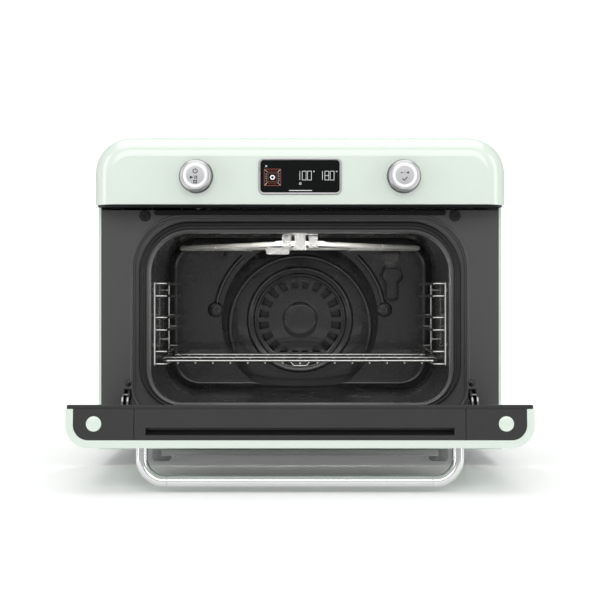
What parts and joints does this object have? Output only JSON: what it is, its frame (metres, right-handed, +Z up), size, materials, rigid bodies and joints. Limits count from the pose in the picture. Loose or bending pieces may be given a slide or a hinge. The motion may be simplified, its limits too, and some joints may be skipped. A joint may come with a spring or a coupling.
{
  "type": "countertop oven",
  "caption": "Countertop convection oven with a drop-down door, round controls, a digital display, wire shelf, side racks and a slide-out drip tray.",
  "frame": {"origin": "on the floor under the middle of the object's box, with the door open as it rests", "axes": "+X to the right as seen from the front, +Y from the open door towards the back, +Z up"},
  "size_m": [0.487, 0.6734, 0.394],
  "materials": {
    "mint_paint": "gloss",
    "galvanised": "satin",
    "dark_enamel": "satin",
    "cavity_enamel": "gloss",
    "dark_plastic": "matte",
    "rubber_black": "matte",
    "chrome_wire": "polished",
    "heater_steel": "satin",
    "bright_steel": "satin",
    "polished_steel": "polished",
    "bezel_silver": "satin",
    "knob_steel": "spun",
    "display_black": "gloss",
    "motor_grey": "satin",
    "board_green": "satin",
    "lamp_ceramic": "matte",
    "wool": "matte",
    "tinted_glass": "gloss",
    "clear_glass": "gloss"
  },
  "bodies": {
    "body": {"housing": "mint_paint", "back_panel": "galvanised", "wall_spacers": "dark_plastic", "base_plate": "galvanised", "feet": "rubber_black", "tray_guides": "galvanised", "lower_trim": "mint_paint", "front_frame": "dark_enamel", "air_deflector": "dark_plastic", "vent_grille": "dark_plastic", "door_bumpers": "rubber_black", "door_gasket": "rubber_black", "cavity_liner": "cavity_enamel", "insulation": "wool", "grill_element": "heater_steel", "element_bracket": "bright_steel", "fan_cover": "cavity_enamel", "fan_chamber": "cavity_enamel", "ring_heater": "heater_steel", "fan_motor": "motor_grey", "lamp_lens": "clear_glass", "oven_lamp": "lamp_ceramic", "temperature_probe": "heater_steel", "rack_left": "chrome_wire", "rack_right": "chrome_wire", "bay_deck": "galvanised", "blower_housing": "galvanised", "blower_motor": "dark_plastic", "power_board": "board_green", "fascia": "mint_paint", "display_bezel": "bezel_silver", "display_window": "display_black", "display_module": "board_green", "control_collars": "bezel_silver", "button_housing": "dark_plastic", "encoder_body": "dark_plastic", "cord_gland": "dark_plastic", "case_screws": "bright_steel", "hinge_brackets": "polished_steel", "hinge_cassettes": "galvanised", "hinge_springs": "bright_steel"},
    "door": {"door_shell": "mint_paint", "window_trim": "polished_steel", "outer_glass": "tinted_glass", "inner_panel": "dark_enamel", "inner_glass": "tinted_glass", "top_trim": "dark_plastic", "end_caps": "dark_plastic", "edge_plugs": "mint_paint", "handle": "polished_steel", "handle_screws": "bright_steel", "hinge_arms": "polished_steel"},
    "shelf": {"wire_shelf": "chrome_wire"},
    "tray": {"drip_tray": "cavity_enamel"},
    "power_button": {"power_button": "knob_steel"},
    "knob_plunger": {"encoder_shaft": "bezel_silver"},
    "knob": {"set_knob": "knob_steel"},
    "oven_fan": {"fan_shaft": "cavity_enamel", "fan_wheel": "cavity_enamel"},
    "cooling_fan": {"blower_drum": "bright_steel"}
  },
  "joints": [
    {"name": "door_hinge", "type": "hinge", "parent": "body", "child": "door", "pos_m": [0, -0.09126, 0.066], "axis": [-1, 0, 0], "range_deg": [0, 85]},
    {"name": "shelf_slide", "type": "slide", "parent": "body", "child": "shelf", "axis": [0, 1, 0], "range_m": [-0.17, 0]},
    {"name": "tray_slide", "type": "slide", "parent": "body", "child": "tray", "axis": [0, 1, 0], "range_m": [-0.12, 0]},
    {"name": "power_press", "type": "slide", "parent": "body", "child": "power_button", "axis": [0, 1, 0], "range_m": [0, 0.002], "stiffness_N_per_m": 600},
    {"name": "knob_press", "type": "slide", "parent": "body", "child": "knob_plunger", "axis": [0, 1, 0], "range_m": [0, 0.0015], "stiffness_N_per_m": 800},
    {"name": "knob_turn", "type": "hinge", "parent": "knob_plunger", "child": "knob", "pos_m": [0.122, -0.14326, 0.3456], "axis": [0, -1, 0], "continuous": true},
    {"name": "oven_fan_spin", "type": "hinge", "parent": "body", "child": "oven_fan", "pos_m": [0, 0.26674, 0.17], "axis": [0, 1, 0], "continuous": true},
    {"name": "cooling_fan_spin", "type": "hinge", "parent": "body", "child": "cooling_fan", "pos_m": [0, 0.04174, 0.3415], "axis": [1, 0, 0], "continuous": true}
  ]
}
